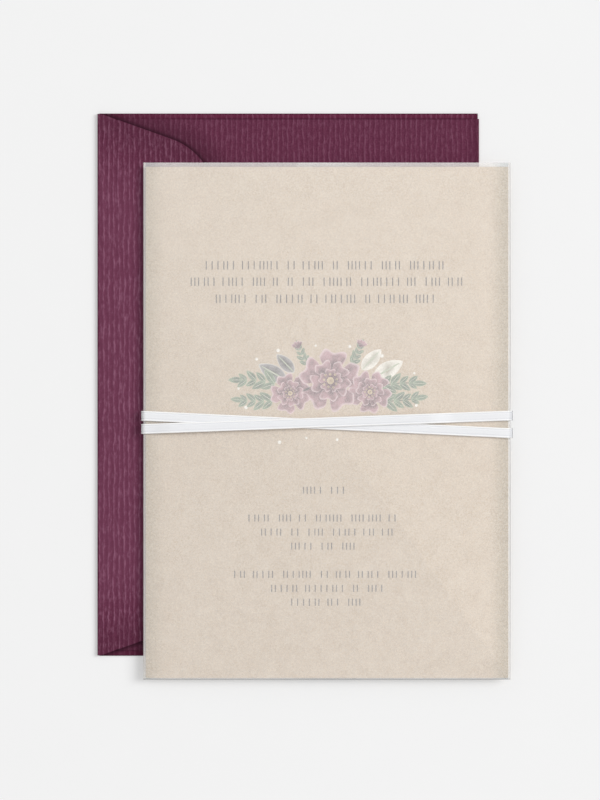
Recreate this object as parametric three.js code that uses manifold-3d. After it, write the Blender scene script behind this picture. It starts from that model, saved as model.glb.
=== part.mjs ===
// A wedding invitation with its envelope. A kraft card lies in a folded vellum wrap, and
// one flat elastic loop, wound twice round the wrap, holds it shut. The tied card lies on
// its ribbed paper envelope, shifted towards one corner.
// Millimetres, +Z up. The origin is the centre of the envelope's underside. +X runs from
// the fold of the closing flap to the bottom fold, and +Y to the top of the print.
import * as THREE from "three";
import { mergeVertices } from "three/addons/utils/BufferGeometryUtils.js";
import Module from "manifold-3d";

// Envelope: one sheet of ribbed paper, folded on all four sides.
const envelopeWidth = 114;
const envelopeHeight = 162;
const envelopePaper = 0.2;
const layerGap = 0.1; // air between two layers of the folded paper
const closingFlapDepth = 37.5;
const closingFlapSlant = 19.6; // degrees that each end leans away from the short side
const closingFlapRound = 20; // radius of the two shoulders
const closingFlapInset = 0.75; // from the long fold to the start of the slant
const mouthInset = 6; // from the long fold to the back panel's free edge
const seamInset = 1.65; // from a short side to the back panel's glued edge
const sideFlapDepth = 15;
const sideFlapEndInset = 0.8; // from a corner to the end of a side flap's fold
const sideFlapEndSlant = 20; // degrees
const glueWidth = 8;

// Ribs of the paper: fine ridges that run along Y on its outer face.
const ribPitch = 1.53;
const ribCrest = 0.3;
const ribFoot = 0.7;
const ribHeight = 0.05;

// Card and the vellum wrap that is folded round it.
const cardWidth = 108.2;
const cardHeight = 152.5;
const cardThickness = 0.6;
const vellumThickness = 0.15;
const wrapGap = 0.1; // air between the wrap's layers and the card
const wrapSideClearance = 0.05;
const wrapTopOverhang = 1.25; // how far the wrap passes the card's top edge
const wrapBottomOverhang = 0.42;
const wrapOverlap = 18; // how far the two back flaps of the wrap lie over each other

// Elastic band: a flat braid with a round cord along each edge.
const bandWidth = 3;
const bandThickness = 0.6;
const bandWeb = 0.4; // thickness between the two edge cords
const bandLeftCentre = -0.43; // middle of the two passes, from the wrap's middle
const bandLeftGap = 0.88; // free space between the two passes at the left edge
const bandRightCentre = -1;
const bandRightGap = 2.2;
const bandRamp = 8; // length over which the upper pass climbs on to the lower one
const bandCrossClearance = 0.2; // side distance at which the climb is over

// Place of the tied card on the envelope.
const bundleShiftX = 11.55;
const bundleShiftY = -10.85;
const seatGap = 0.05; // between two pieces that lie on each other

// Fineness of the round stretches and of what the cuts reach past.
const foldSegments = 5;
const turnSegments = 10;
const rampSegments = 8;
const shoulderSegments = 14;
const foldLead = 1; // flat stretch on either side of a fold
const cutMargin = 1;
const sliver = 0.003; // points this close to a straight edge are dropped from it

// Levels, from the table up.
const sideFlapBottom = envelopePaper + layerGap;
const backPanelBottom = sideFlapBottom + envelopePaper + layerGap;
const closingFlapBottom = backPanelBottom + envelopePaper + layerGap;
const envelopeTop = closingFlapBottom + envelopePaper;
const bandBackBottom = envelopeTop + seatGap;
const wrapBottom = bandBackBottom + bandThickness + seatGap;
const wrapInnerFlapBottom = wrapBottom + vellumThickness + wrapGap;
const cardBottom = wrapInnerFlapBottom + vellumThickness + wrapGap;
const wrapFrontBottom = cardBottom + cardThickness + wrapGap;
const wrapTop = wrapFrontBottom + vellumThickness;

const wasm = await Module();
wasm.setup();

function toSolid(geometry) {
  const loose = geometry.index ? geometry.toNonIndexed() : geometry;
  const bare = new THREE.BufferGeometry();
  bare.setAttribute("position", loose.getAttribute("position"));
  const welded = mergeVertices(bare);
  return new wasm.Manifold(
    new wasm.Mesh({
      numProp: 3,
      vertProperties: welded.getAttribute("position").array,
      triVerts: new Uint32Array(welded.index.array),
    }),
  );
}

function toGeometry(solid) {
  const mesh = solid.getMesh();
  const indexed = new THREE.BufferGeometry();
  indexed.setAttribute("position", new THREE.Float32BufferAttribute(mesh.vertProperties, 3));
  indexed.setIndex(new THREE.Uint32BufferAttribute(mesh.triVerts, 1));
  const flat = indexed.toNonIndexed();
  flat.computeVertexNormals();
  return flat;
}

function join(solids) {
  return solids.reduce((whole, solid) => whole.add(solid)).simplify(sliver);
}

// A flat sheet with the given outline, from one level up.
function sheet(outline, bottom, thickness, segments = 1) {
  const options = { depth: thickness, bevelEnabled: false, curveSegments: segments };
  return new THREE.ExtrudeGeometry(outline, options).translate(0, 0, bottom);
}

function rectangle(left, right, low, high) {
  return new THREE.Shape([
    new THREE.Vector2(left, low),
    new THREE.Vector2(right, low),
    new THREE.Vector2(right, high),
    new THREE.Vector2(left, high),
  ]);
}

// Half the height of a fold between two layers, which is how far it stands out.
function foldRadius(lowBottom, highBottom, thickness) {
  return (highBottom + thickness - lowBottom) / 2;
}

// A sheet folded back on itself. The bend bulges away from the origin in the direction of
// turn (0 is +X, in radians), and starts at the distance given.
function fold(lowBottom, highBottom, thickness, distance, length, turn) {
  const outer = foldRadius(lowBottom, highBottom, thickness);
  const inner = outer - thickness;
  const middle = lowBottom + outer;
  const section = new THREE.Shape();
  section.moveTo(-foldLead, lowBottom);
  section.absarc(0, middle, outer, -Math.PI / 2, Math.PI / 2, false);
  section.lineTo(-foldLead, highBottom + thickness);
  section.lineTo(-foldLead, highBottom);
  section.absarc(0, middle, inner, Math.PI / 2, -Math.PI / 2, true);
  section.lineTo(-foldLead, lowBottom + thickness);
  const options = { depth: length, bevelEnabled: false, curveSegments: foldSegments };
  const standing = new THREE.Matrix4().makeBasis(
    new THREE.Vector3(1, 0, 0),
    new THREE.Vector3(0, 0, 1),
    new THREE.Vector3(0, -1, 0),
  );
  return new THREE.ExtrudeGeometry(section, options)
    .applyMatrix4(standing)
    .translate(distance, length / 2, 0)
    .rotateZ(turn);
}

// The furrows between the ribs of a sheet whose outer face is at the level given: one comb
// along Y, to be cut away.
function furrows(level, left, right, length) {
  const valley = ribPitch - ribFoot;
  const reach = (ribFoot - ribCrest / 2) / 2; // the slopes meet the air above a crest
  const rise = (ribHeight * reach) / ((ribFoot - ribCrest) / 2);
  const first = Math.ceil(left / ribPitch);
  const last = Math.floor(right / ribPitch);
  const comb = new THREE.Shape();
  comb.moveTo(first * ribPitch, level + cutMargin);
  for (let i = first; i < last; i += 1) {
    const start = i * ribPitch + ribFoot / 2;
    comb.lineTo(start - reach, level - ribHeight + rise);
    comb.lineTo(start, level - ribHeight);
    comb.lineTo(start + valley, level - ribHeight);
    comb.lineTo(start + valley + reach, level - ribHeight + rise);
  }
  comb.lineTo(last * ribPitch, level + cutMargin);
  const options = { depth: length, bevelEnabled: false };
  return new THREE.ExtrudeGeometry(comb, options)
    .rotateX(Math.PI / 2)
    .translate(0, length / 2, 0);
}

// Front panel, with square corners left between its four folds.
function frontOutline(leftBend, rightBend, sideBend) {
  const halfWidth = envelopeWidth / 2;
  const halfHeight = envelopeHeight / 2;
  const tabLow = halfHeight - seamInset;
  const top = halfHeight - sideBend;
  return new THREE.Shape([
    new THREE.Vector2(-halfWidth + leftBend, -top),
    new THREE.Vector2(halfWidth, -top),
    new THREE.Vector2(halfWidth, -tabLow),
    new THREE.Vector2(halfWidth - rightBend, -tabLow),
    new THREE.Vector2(halfWidth - rightBend, tabLow),
    new THREE.Vector2(halfWidth, tabLow),
    new THREE.Vector2(halfWidth, top),
    new THREE.Vector2(-halfWidth + leftBend, top),
  ]);
}

// Closing flap: slanted ends, then round shoulders, then a straight free edge.
function closingFlapOutline(leftBend) {
  const slant = THREE.MathUtils.degToRad(closingFlapSlant);
  const foldLine = -envelopeWidth / 2;
  const freeEdge = foldLine + closingFlapDepth;
  const halfHeight = envelopeHeight / 2;
  const shoulderX = freeEdge - closingFlapRound;
  const slantEndX = shoulderX + closingFlapRound * Math.sin(slant);
  const slantRun = slantEndX - foldLine - closingFlapInset;
  const slantEndY = halfHeight - slantRun * Math.tan(slant);
  const shoulderY = slantEndY - closingFlapRound * Math.cos(slant);
  const outline = new THREE.Shape();
  outline.moveTo(foldLine + leftBend, -halfHeight);
  outline.lineTo(foldLine + closingFlapInset, -halfHeight);
  outline.absarc(shoulderX, -shoulderY, closingFlapRound, slant - Math.PI / 2, 0, false);
  outline.absarc(shoulderX, shoulderY, closingFlapRound, 0, Math.PI / 2 - slant, false);
  outline.lineTo(foldLine + closingFlapInset, halfHeight);
  outline.lineTo(foldLine + leftBend, halfHeight);
  return outline;
}

// Side flap at the top short side, folded in between the front and the back panel.
function sideFlapOutline(sideBend) {
  const foldY = envelopeHeight / 2 - sideBend;
  const freeY = envelopeHeight / 2 - sideFlapDepth;
  const halfFold = envelopeWidth / 2 - sideFlapEndInset;
  const taper = (foldY - freeY) * Math.tan(THREE.MathUtils.degToRad(sideFlapEndSlant));
  return new THREE.Shape([
    new THREE.Vector2(-halfFold + taper, freeY),
    new THREE.Vector2(halfFold - taper, freeY),
    new THREE.Vector2(halfFold, foldY),
    new THREE.Vector2(-halfFold, foldY),
  ]);
}

function makeEnvelope() {
  const halfWidth = envelopeWidth / 2;
  const halfHeight = envelopeHeight / 2;
  const paper = envelopePaper;
  const leftBend = foldRadius(0, closingFlapBottom, paper);
  const rightBend = foldRadius(0, backPanelBottom, paper);
  const sideBend = foldRadius(0, sideFlapBottom, paper);
  const mouth = -halfWidth + mouthInset;
  const panelRight = halfWidth - rightBend;
  const panelTop = halfHeight - seamInset;

  const front = toSolid(sheet(frontOutline(leftBend, rightBend, sideBend), 0, paper));
  const back = toSolid(
    sheet(rectangle(mouth, panelRight, -panelTop, panelTop), backPanelBottom, paper),
  ).subtract(
    toSolid(furrows(backPanelBottom + paper, mouth, panelRight - foldLead, envelopeHeight)),
  );
  const closingFlap = toSolid(
    sheet(closingFlapOutline(leftBend), closingFlapBottom, paper, shoulderSegments),
  ).subtract(
    toSolid(
      furrows(
        envelopeTop,
        -halfWidth + leftBend + foldLead,
        -halfWidth + closingFlapDepth,
        envelopeHeight,
      ),
    ),
  );
  const longFold = toSolid(
    fold(0, closingFlapBottom, paper, halfWidth - leftBend, envelopeHeight, Math.PI),
  );
  const slantedEnds = toSolid(
    sheet(closingFlapOutline(0), -cutMargin, envelopeTop + 2 * cutMargin, shoulderSegments),
  );
  const bottomFold = toSolid(
    fold(0, backPanelBottom, paper, halfWidth - rightBend, 2 * panelTop, 0),
  );

  const pieces = [front, back, closingFlap, longFold.intersect(slantedEnds), bottomFold];
  const foldLength = envelopeWidth - 2 * sideFlapEndInset;
  const glueLow = halfHeight - seamInset - glueWidth;
  const glueRight = halfWidth - sideFlapEndInset - sideFlapDepth;
  for (const turn of [Math.PI / 2, -Math.PI / 2]) {
    const flap = sheet(sideFlapOutline(sideBend), sideFlapBottom, paper);
    const glue = sheet(
      rectangle(-glueRight, glueRight, glueLow, halfHeight - seamInset),
      sideFlapBottom + paper,
      layerGap,
    );
    if (turn < 0) {
      flap.rotateZ(Math.PI);
      glue.rotateZ(Math.PI);
    }
    pieces.push(toSolid(flap), toSolid(glue));
    pieces.push(
      toSolid(fold(0, sideFlapBottom, paper, halfHeight - sideBend, foldLength, turn)),
    );
  }
  return toGeometry(join(pieces));
}

// The wrap's fold lines stand just outside the card's long edges.
const wrapFoldX = cardWidth / 2 + wrapSideClearance;
const wrapHeight = cardHeight + wrapTopOverhang + wrapBottomOverhang;

function makeWrap() {
  const half = wrapHeight / 2;
  const outerFlap = rectangle(-wrapFoldX, wrapOverlap / 2, -half, half);
  const innerFlap = rectangle(-wrapOverlap / 2, wrapFoldX, -half, half);
  const front = rectangle(-wrapFoldX, wrapFoldX, -half, half);
  const leftFold = fold(
    wrapBottom,
    wrapFrontBottom,
    vellumThickness,
    wrapFoldX,
    wrapHeight,
    Math.PI,
  );
  const rightFold = fold(
    wrapInnerFlapBottom,
    wrapFrontBottom,
    vellumThickness,
    wrapFoldX,
    wrapHeight,
    0,
  );
  return toGeometry(
    join([
      toSolid(sheet(outerFlap, wrapBottom, vellumThickness)),
      toSolid(sheet(innerFlap, wrapInnerFlapBottom, vellumThickness)),
      toSolid(sheet(front, wrapFrontBottom, vellumThickness)),
      toSolid(leftFold),
      toSolid(rightFold),
    ]),
  );
}

function makeCard() {
  const middle = (wrapBottomOverhang - wrapTopOverhang) / 2;
  return new THREE.BoxGeometry(cardWidth, cardHeight, cardThickness).translate(
    0,
    middle,
    cardBottom + cardThickness / 2,
  );
}

// Section of the braid: x is across it, y is through its thickness.
function bandSection() {
  const cord = bandThickness / 2;
  const cordX = bandWidth / 2 - cord;
  const meet = Math.asin(bandWeb / 2 / cord);
  const section = new THREE.Shape();
  section.absarc(cordX, 0, cord, meet - Math.PI, Math.PI - meet, false);
  section.absarc(-cordX, 0, cord, meet, 2 * Math.PI - meet, false);
  return section.getPoints(foldSegments).slice(0, -1);
}

function smooth(t) {
  const held = THREE.MathUtils.clamp(t, 0, 1);
  return held * held * (3 - 2 * held);
}

// Centre line of the loop, with the direction that faces away from the card at each point.
// It runs over the front, round the right edge, back underneath and round the left edge,
// twice. The first front pass climbs over the second one where they cross.
function bandLine() {
  const leftReach = (bandWidth + bandLeftGap) / 2;
  const rightReach = (bandWidth + bandRightGap) / 2;
  const left = [bandLeftCentre - leftReach, bandLeftCentre + leftReach];
  const right = [bandRightCentre + rightReach, bandRightCentre - rightReach];
  const frontZ = wrapTop + seatGap + bandThickness / 2;
  const backZ = bandBackBottom + bandThickness / 2;
  const turnRadius = (frontZ - backZ) / 2;
  const turnZ = (frontZ + backZ) / 2;
  const edge = wrapFoldX + foldRadius(wrapBottom, wrapFrontBottom, vellumThickness);
  const turnX = edge + seatGap + bandThickness / 2 - turnRadius;

  const spread = left[1] - left[0];
  const closing = spread + right[0] - right[1];
  const touch = bandWidth + bandCrossClearance;
  const climbEnd = (spread - touch) / closing;
  const descentStart = (spread + touch) / closing;
  const climb = Math.min(bandRamp / (2 * turnX), climbEnd);
  const descent = Math.min(bandRamp / (2 * turnX), 1 - descentStart);
  const lift = bandThickness + seatGap;

  const line = [];
  const add = (x, y, z, outX, outZ) =>
    line.push({ at: new THREE.Vector3(x, y, z), out: new THREE.Vector3(outX, 0, outZ) });
  const addFront = (pass, t, height) =>
    add(
      THREE.MathUtils.lerp(-turnX, turnX, t),
      THREE.MathUtils.lerp(left[pass], right[pass], t),
      frontZ + height,
      0,
      1,
    );
  const addTurn = (side, y, startAngle) => {
    for (let i = 1; i < turnSegments; i += 1) {
      const angle = startAngle - (i / turnSegments) * Math.PI;
      const outX = Math.cos(angle);
      const outZ = Math.sin(angle);
      add(side * turnX + turnRadius * outX, y, turnZ + turnRadius * outZ, outX, outZ);
    }
  };

  for (const pass of [0, 1]) {
    addFront(pass, 0, 0);
    if (pass === 0) {
      for (let i = 0; i <= rampSegments; i += 1) {
        const t = climbEnd - climb + (climb * i) / rampSegments;
        if (t > 0) addFront(pass, t, lift * smooth(i / rampSegments));
      }
      for (let i = 0; i <= rampSegments; i += 1) {
        const t = descentStart + (descent * i) / rampSegments;
        if (t < 1) addFront(pass, t, lift * smooth(1 - i / rampSegments));
      }
    }
    addFront(pass, 1, 0);
    addTurn(1, right[pass], Math.PI / 2);
    const next = 1 - pass;
    add(turnX, right[pass], backZ, 0, -1);
    add(-turnX, left[next], backZ, 0, -1);
    addTurn(-1, left[next], -Math.PI / 2);
  }
  return line;
}

// The braid swept along its closed centre line.
function makeBand() {
  const section = bandSection();
  const line = bandLine();
  const positions = [];
  line.forEach(({ at, out }, i) => {
    const before = line[(i + line.length - 1) % line.length].at;
    const after = line[(i + 1) % line.length].at;
    const toward = after.clone().sub(at).normalize();
    toward.add(at.clone().sub(before).normalize()).normalize();
    const across = out.clone().cross(toward).normalize();
    const through = toward.clone().cross(across);
    for (const point of section) {
      const corner = at
        .clone()
        .addScaledVector(across, point.x)
        .addScaledVector(through, point.y);
      positions.push(corner.x, corner.y, corner.z);
    }
  });
  const indices = [];
  const count = section.length;
  line.forEach((_, i) => {
    const here = i * count;
    const next = ((i + 1) % line.length) * count;
    for (let j = 0; j < count; j += 1) {
      const k = (j + 1) % count;
      indices.push(here + j, here + k, next + k, here + j, next + k, next + j);
    }
  });
  const indexed = new THREE.BufferGeometry();
  indexed.setAttribute("position", new THREE.Float32BufferAttribute(positions, 3));
  indexed.setIndex(indices);
  const flat = indexed.toNonIndexed();
  flat.computeVertexNormals();
  return flat;
}

function named(name, geometry, material) {
  const mesh = new THREE.Mesh(geometry, new THREE.MeshStandardMaterial(material));
  mesh.name = name;
  return mesh;
}

const tiedCard = new THREE.Group();
tiedCard.position.set(bundleShiftX, bundleShiftY, 0);
tiedCard.add(
  named("kraft_card", makeCard(), { color: "#b08f66", roughness: 0.9, metalness: 0 }),
  named("vellum_wrap", makeWrap(), {
    color: "#f1eee8",
    roughness: 0.5,
    metalness: 0,
    transparent: true,
    opacity: 0.72,
  }),
  named("elastic_band", makeBand(), { color: "#eef0f1", roughness: 0.8, metalness: 0 }),
);

const invitation = new THREE.Group();
invitation.add(
  named("envelope", makeEnvelope(), { color: "#6b3a51", roughness: 0.85, metalness: 0 }),
  tiedCard,
);

export default invitation;
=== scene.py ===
import math
import random

import bpy
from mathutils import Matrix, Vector, noise


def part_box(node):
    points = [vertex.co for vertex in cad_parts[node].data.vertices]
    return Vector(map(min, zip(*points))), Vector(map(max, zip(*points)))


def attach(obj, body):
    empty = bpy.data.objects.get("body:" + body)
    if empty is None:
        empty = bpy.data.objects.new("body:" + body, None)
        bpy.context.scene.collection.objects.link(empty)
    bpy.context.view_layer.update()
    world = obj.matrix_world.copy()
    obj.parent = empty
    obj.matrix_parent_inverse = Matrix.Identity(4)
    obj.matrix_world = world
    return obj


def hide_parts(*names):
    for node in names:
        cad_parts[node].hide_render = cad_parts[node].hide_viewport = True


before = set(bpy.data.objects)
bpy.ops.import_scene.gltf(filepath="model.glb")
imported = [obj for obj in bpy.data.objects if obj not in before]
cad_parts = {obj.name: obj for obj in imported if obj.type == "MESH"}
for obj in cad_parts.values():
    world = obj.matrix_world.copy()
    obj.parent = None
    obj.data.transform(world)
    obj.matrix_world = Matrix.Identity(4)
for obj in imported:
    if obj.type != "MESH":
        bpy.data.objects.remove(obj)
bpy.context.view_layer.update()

mm = 0.001
body = "root"
weldDistance = 0.002 * mm
nearby = 0.01 * mm  # how close a point has to be to count as on a line
print("frame loaded:", sorted(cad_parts))


# small helpers for modelling

def clearSelection():
    bpy.ops.object.select_all(action="DESELECT")


def focus(piece):
    clearSelection()
    piece.select_set(True)
    bpy.context.view_layer.objects.active = piece


def nameActive(name):
    piece = bpy.context.object
    piece.name = name
    piece.data.name = name
    return piece


def settle(piece):
    focus(piece)
    bpy.ops.object.transform_apply(location=True, rotation=True, scale=True)


def finishModifiers(piece):
    focus(piece)
    for modifier in list(piece.modifiers):
        bpy.ops.object.modifier_apply(modifier=modifier.name)


def edit(piece, kind="VERT"):
    focus(piece)
    bpy.ops.object.mode_set(mode="EDIT")
    bpy.ops.mesh.select_mode(type=kind)
    bpy.ops.mesh.select_all(action="DESELECT")


def leaveEdit():
    bpy.ops.object.mode_set(mode="OBJECT")


def selectAll():
    bpy.ops.mesh.select_all(action="SELECT")


def selectVerts(piece, test):
    bpy.ops.mesh.select_all(action="DESELECT")
    bpy.ops.object.mode_set(mode="OBJECT")
    for vertex in piece.data.vertices:
        vertex.select = test(vertex.co)
    bpy.ops.object.mode_set(mode="EDIT")


def selectEdges(piece, test):
    edit(piece, "EDGE")
    leaveEdit()
    for edge in piece.data.edges:
        ends = (piece.data.vertices[i].co for i in edge.vertices)
        edge.select = test(*ends)
    bpy.ops.object.mode_set(mode="EDIT")


def extrudeAlong(points):
    # pulls what is selected from each point to the next
    for before, after in zip(points, points[1:]):
        step = Vector(after) - Vector(before)
        bpy.ops.mesh.extrude_region_move(TRANSFORM_OT_translate={"value": step})


def turnPoints(centreX, centreZ, radius, start, sweep, steps):
    # points on an arc over the x and z axes, with its angles in degrees
    points = []
    for i in range(steps + 1):
        angle = math.radians(start + sweep * i / steps)
        points.append((centreX + radius * math.cos(angle), 0, centreZ + radius * math.sin(angle)))
    return points


def recalculate(piece):
    edit(piece)
    selectAll()
    bpy.ops.mesh.remove_doubles(threshold=weldDistance)
    bpy.ops.mesh.normals_make_consistent(inside=False)
    leaveEdit()


def smoothShade(piece, angle=35):
    focus(piece)
    bpy.ops.object.shade_smooth_by_angle(angle=math.radians(angle))


def copyOf(piece, name):
    twin = piece.copy()
    twin.data = piece.data.copy()
    twin.name = name
    bpy.context.collection.objects.link(twin)
    return twin


def joined(name, pieces):
    clearSelection()
    for piece in pieces:
        piece.select_set(True)
    bpy.context.view_layer.objects.active = pieces[0]
    bpy.ops.object.join()
    whole = nameActive(name)
    settle(whole)
    return whole


def addWall(piece, thickness, offset=0):
    wall = piece.modifiers.new("wall", "SOLIDIFY")
    wall.thickness = thickness
    wall.offset = offset
    finishModifiers(piece)
    recalculate(piece)


def finishPiece(piece, material, node):
    piece.data.materials.append(material)
    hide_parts(node)
    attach(piece, body)


def smoothStep(low, high, value):
    t = min(max((value - low) / (high - low), 0), 1)
    return t * t * (3 - 2 * t)


# small helpers for materials

def tone(red, green, blue):
    channels = []
    for value in (red, green, blue):
        part = value / 255
        channels.append(part / 12.92 if part <= 0.04045 else ((part + 0.055) / 1.055) ** 2.4)
    return (*channels, 1)


def newMaterial(name, roughness, specular):
    material = bpy.data.materials.new(name)
    material.use_nodes = True
    tree = material.node_tree
    shader = tree.nodes["Principled BSDF"]
    shader.inputs["Roughness"].default_value = roughness
    shader.inputs["Specular IOR Level"].default_value = specular
    return material, tree, shader


def addNode(tree, kind, settings=None, values=None):
    # nodes stand in rows of eight, in the order in which they are made
    node = tree.nodes.new(kind)
    row, column = divmod(len(tree.nodes), 8)
    node.location = (200 * column - 1800, -320 * row)
    for key, value in (settings or {}).items():
        setattr(node, key, value)
    for key, value in (values or {}).items():
        node.inputs[key].default_value = value
    return node


def mathNode(tree, operation, first, second=None, clamp=False):
    node = addNode(tree, "ShaderNodeMath", {"operation": operation, "use_clamp": clamp})
    for i, value in enumerate((first, second)):
        if value is None:
            continue
        if isinstance(value, (int, float)):
            node.inputs[i].default_value = value
        else:
            tree.links.new(value, node.inputs[i])
    return node.outputs[0]


def mixColour(tree, factor, first, second):
    node = addNode(tree, "ShaderNodeMix", {"data_type": "RGBA"})
    for socket, value in ((0, factor), (6, first), (7, second)):
        if isinstance(value, (int, float, tuple)):
            node.inputs[socket].default_value = value
        else:
            tree.links.new(value, node.inputs[socket])
    return node.outputs[2]


def mapRange(tree, value, fromLow, fromHigh, toLow, toHigh, kind="LINEAR"):
    node = addNode(tree, "ShaderNodeMapRange", {"interpolation_type": kind})
    tree.links.new(value, node.inputs[0])
    for socket, number in zip((1, 2, 3, 4), (fromLow, fromHigh, toLow, toHigh)):
        node.inputs[socket].default_value = number
    return node.outputs[0]


def addBump(tree, shader, height, distance, strength=1.0):
    bump = addNode(tree, "ShaderNodeBump", values={"Strength": strength, "Distance": distance})
    tree.links.new(height, bump.inputs["Height"])
    tree.links.new(bump.outputs["Normal"], shader.inputs["Normal"])


def axesOf(tree, vector):
    split = addNode(tree, "ShaderNodeSeparateXYZ")
    tree.links.new(vector, split.inputs[0])
    return split.outputs


def howFar(tree, value, centre):
    return mathNode(tree, "ABSOLUTE", mathNode(tree, "SUBTRACT", value, centre))


def seenDirectly(tree):
    # 1 for what the camera sees by itself, in a mirror or through glass
    path = addNode(tree, "ShaderNodeLightPath")
    indirect = mathNode(tree, "MAXIMUM", path.outputs["Is Glossy Ray"],
                        path.outputs["Is Transmission Ray"])
    return mathNode(tree, "MAXIMUM", path.outputs["Is Camera Ray"], indirect)


def buildGrainGroup():
    # paper grain: a cloudy mask, short fibres and their height
    group = bpy.data.node_groups.new("paperGrain", "ShaderNodeTree")
    face = group.interface
    face.new_socket("Vector", in_out="INPUT", socket_type="NodeSocketVector")
    for name in ("Grain Scale", "Fibre Scale", "Cloud Scale"):
        face.new_socket(name, in_out="INPUT", socket_type="NodeSocketFloat")
    for name in ("Grain", "Fibre", "Cloud", "Height"):
        face.new_socket(name, in_out="OUTPUT", socket_type="NodeSocketFloat")
    inside = addNode(group, "NodeGroupInput")
    outside = addNode(group, "NodeGroupOutput")
    grain = addNode(group, "ShaderNodeTexNoise", values={"Detail": 4.0, "Roughness": 0.65})
    stretch = addNode(group, "ShaderNodeMapping",
                      values={"Scale": (1.0, 0.28, 1.0), "Rotation": (0, 0, 0.5)})
    fibre = addNode(group, "ShaderNodeTexNoise",
                    values={"Detail": 2.0, "Roughness": 0.5, "Distortion": 1.6})
    cloud = addNode(group, "ShaderNodeTexNoise", values={"Detail": 3.0, "Roughness": 0.55})
    links = group.links
    links.new(inside.outputs["Vector"], stretch.inputs["Vector"])
    for name, noiseNode, source in (("Grain", grain, inside.outputs["Vector"]),
                                    ("Fibre", fibre, stretch.outputs[0]),
                                    ("Cloud", cloud, inside.outputs["Vector"])):
        links.new(source, noiseNode.inputs["Vector"])
        links.new(inside.outputs[name + " Scale"], noiseNode.inputs["Scale"])
    strands = mapRange(group, fibre.outputs[0], 0.60, 0.72, 0, 1, "SMOOTHSTEP")
    half = mathNode(group, "MULTIPLY", strands, 0.4)
    height = mathNode(group, "ADD", grain.outputs[0], half)
    for name, value in (("Grain", grain.outputs[0]), ("Fibre", strands),
                        ("Cloud", cloud.outputs[0]), ("Height", height)):
        links.new(value, outside.inputs[name])
    return group


grainGroup = buildGrainGroup()


def addGrain(tree, grainScale, fibreScale, cloudScale):
    # the grain's outputs, and the piece's own coordinates
    spot = addNode(tree, "ShaderNodeTexCoord").outputs["Object"]
    node = addNode(tree, "ShaderNodeGroup", {"node_tree": grainGroup},
                   {"Grain Scale": grainScale, "Fibre Scale": fibreScale,
                    "Cloud Scale": cloudScale})
    tree.links.new(spot, node.inputs["Vector"])
    return node.outputs, spot


# camera: straight down, and far enough away to show no sides

camera = {
    "middle": (3.51 * mm, -4.59 * mm),
    "frameHeight": 239.0 * mm,
    "lens": 300,
    "sensor": 36,
}


def buildCamera():
    data = bpy.data.cameras.new("camera")
    data.lens = camera["lens"]
    data.sensor_width = camera["sensor"]
    data.clip_start = 0.01
    holder = bpy.data.objects.new("camera", data)
    bpy.context.collection.objects.link(holder)
    distance = camera["frameHeight"] * camera["lens"] / camera["sensor"]
    holder.location = (*camera["middle"], distance)
    bpy.context.scene.camera = holder


buildCamera()


# card: one stiff board with softened edges

card = {
    "edgeRound": 0.14 * mm,
    "edgeSteps": 3,
    "cornerRound": 0.25 * mm,
    "cornerSteps": 4,
    "paleFrom": -20 * mm,  # painted light: the board is painted paler towards its top
    "paleTo": 76 * mm,
    "colour": tone(219, 202, 179),
    "speckle": tone(187, 163, 134),
    "cloud": tone(226, 210, 190),
    "fibre": tone(158, 128, 96),
    "topLightTone": tone(236, 222, 204),
}


def buildCardMaterial():
    material, tree, shader = newMaterial("kraftBoard", 0.9, 0.2)
    grain, spot = addGrain(tree, 2200, 1500, 160)
    links = tree.links
    mottle = mapRange(tree, grain["Grain"], 0.36, 0.66, 0, 1)
    base = mixColour(tree, mottle, card["colour"], card["speckle"])
    cloud = mapRange(tree, grain["Cloud"], 0.3, 0.7, 0.0, 0.3)
    clouded = mixColour(tree, cloud, base, card["cloud"])
    faint = mathNode(tree, "MULTIPLY", grain["Fibre"], 0.3)
    withFibre = mixColour(tree, faint, clouded, card["fibre"])
    # painted light: paler towards the board's top
    upper = mapRange(tree, axesOf(tree, spot)[1], card["paleFrom"], card["paleTo"], 0, 0.2)
    links.new(mixColour(tree, upper, withFibre, card["topLightTone"]), shader.inputs["Base Color"])
    addBump(tree, shader, grain["Height"], 0.03 * mm, 0.5)
    return material


def buildCard():
    low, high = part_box("kraft_card")
    middle = [(a + b) / 2 for a, b in zip(low, high)]
    size = [b - a for a, b in zip(low, high)]
    bpy.ops.mesh.primitive_cube_add(size=1, location=middle, scale=size)
    piece = nameActive("card")
    settle(piece)
    selectEdges(piece, lambda a, b: abs(a.z - b.z) > 0.1 * mm)
    bpy.ops.mesh.bevel(offset=card["cornerRound"], segments=card["cornerSteps"], affect="EDGES")
    leaveEdit()
    selectEdges(piece, lambda a, b: abs(a.z - b.z) < nearby)
    bpy.ops.mesh.bevel(offset=card["edgeRound"], segments=card["edgeSteps"], affect="EDGES")
    leaveEdit()
    recalculate(piece)
    smoothShade(piece, 30)
    finishPiece(piece, buildCardMaterial(), "kraft_card")


buildCard()
cardLow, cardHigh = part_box("kraft_card")
print("card built")


# wrap: one translucent sheet folded round the card, in the shape that the band gives it

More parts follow.
